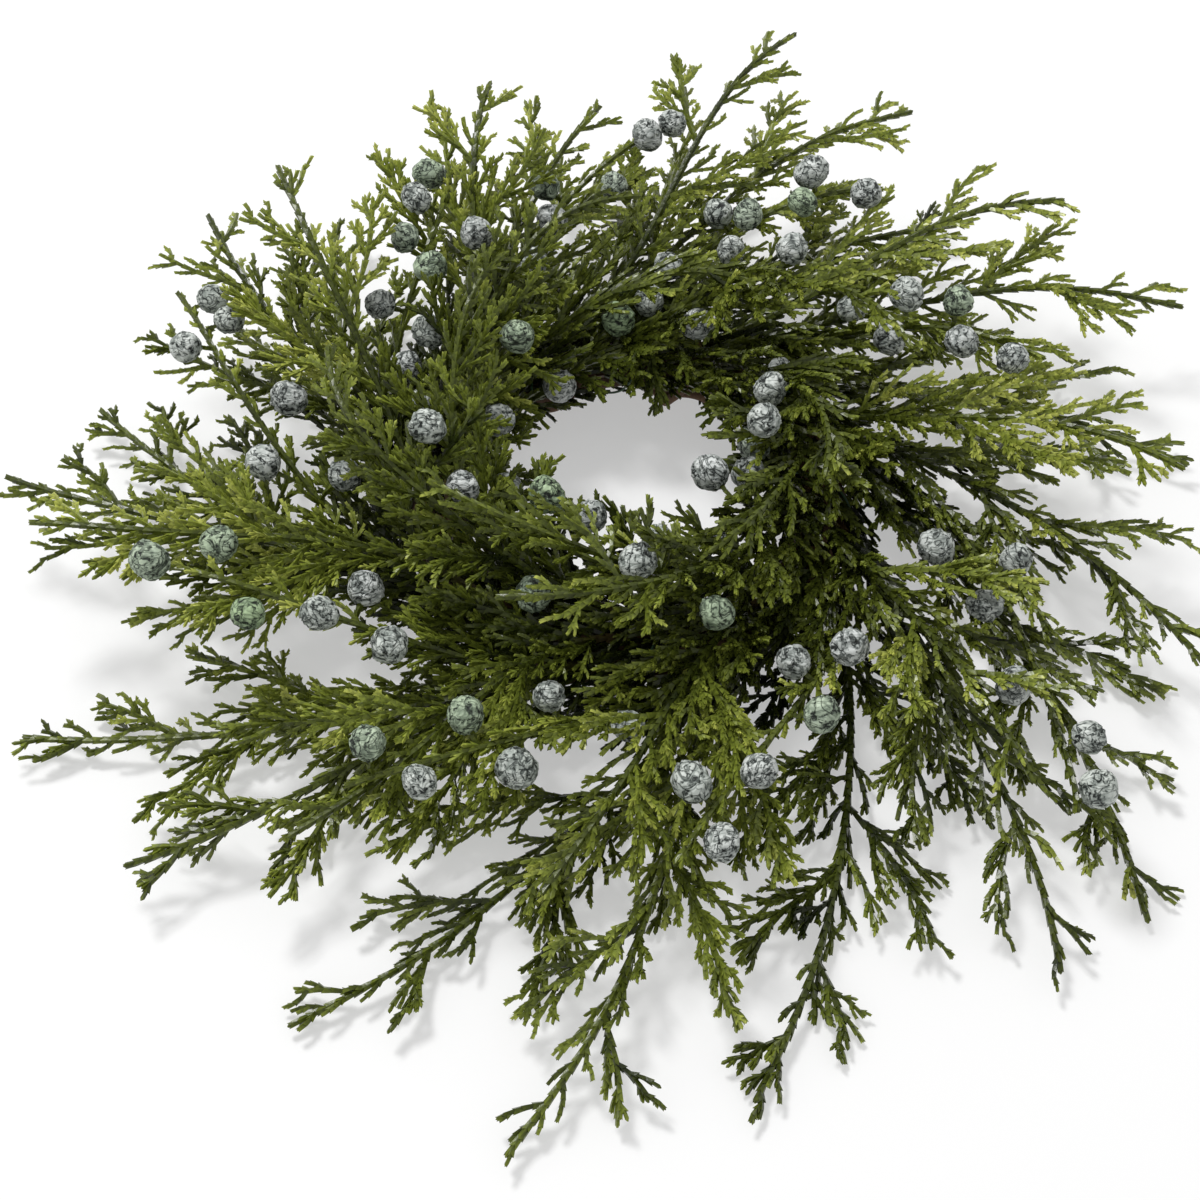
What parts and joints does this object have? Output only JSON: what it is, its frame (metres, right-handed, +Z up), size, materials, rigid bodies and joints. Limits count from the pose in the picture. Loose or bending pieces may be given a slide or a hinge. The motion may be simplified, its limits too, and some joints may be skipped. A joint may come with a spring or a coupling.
{
  "type": "evergreen wreath",
  "caption": "Fresh juniper wreath lying flat: a ring of twisted vines with leafy sprays and berried twigs swept clockwise round an open middle.",
  "frame": {"origin": "on the table, under the middle of the whole wreath's box", "axes": "+Z up from the table, out of the wreath's open middle; +Y to the back of the wreath, +X to its right"},
  "size_m": [0.3708, 0.395, 0.0702],
  "materials": {
    "dark_bark": "rough bark",
    "pale_bark": "rough bark",
    "green_wire": "green enamel",
    "foliage": "waxy scale leaves",
    "berries": "waxy bloom"
  },
  "bodies": {
    "root": {"coil_vine_1": "dark_bark", "coil_vine_2": "pale_bark", "coil_vine_3": "dark_bark", "coil_vine_4": "pale_bark", "wrap_vine": "pale_bark", "binding_wire": "green_wire", "spray_low_1": "foliage", "spray_low_2": "foliage", "spray_low_3": "foliage", "spray_low_4": "foliage", "spray_low_5": "foliage", "spray_low_6": "foliage", "spray_low_7": "foliage", "spray_low_8": "foliage", "spray_low_9": "foliage", "spray_mid_1": "foliage", "spray_mid_2": "foliage", "spray_mid_3": "foliage", "spray_mid_4": "foliage", "spray_mid_5": "foliage", "spray_mid_6": "foliage", "spray_mid_7": "foliage", "spray_mid_8": "foliage", "spray_mid_9": "foliage", "spray_high_1": "foliage", "spray_high_2": "foliage", "spray_high_3": "foliage", "spray_high_4": "foliage", "spray_high_5": "foliage", "spray_high_6": "foliage", "spray_high_7": "foliage", "spray_high_8": "foliage", "spray_high_9": "foliage", "spray_crown_1": "foliage", "spray_crown_2": "foliage", "spray_crown_3": "foliage", "spray_crown_4": "foliage", "spray_crown_5": "foliage", "spray_crown_6": "foliage", "spray_crown_7": "foliage", "spray_crown_8": "foliage", "spray_crown_9": "foliage", "berry_twig_outer_1": "berries", "berry_twig_outer_2": "berries", "berry_twig_outer_3": "berries", "berry_twig_outer_4": "berries", "berry_twig_outer_5": "berries", "berry_twig_outer_6": "berries", "berry_twig_outer_7": "berries", "berry_twig_outer_8": "berries", "berry_twig_outer_9": "berries", "berry_twig_inner_1": "berries", "berry_twig_inner_2": "berries", "berry_twig_inner_3": "berries", "berry_twig_inner_4": "berries", "berry_twig_inner_5": "berries", "berry_twig_inner_6": "berries", "berry_twig_inner_7": "berries", "berry_twig_inner_8": "berries", "berry_twig_inner_9": "berries"}
  },
  "joints": []
}
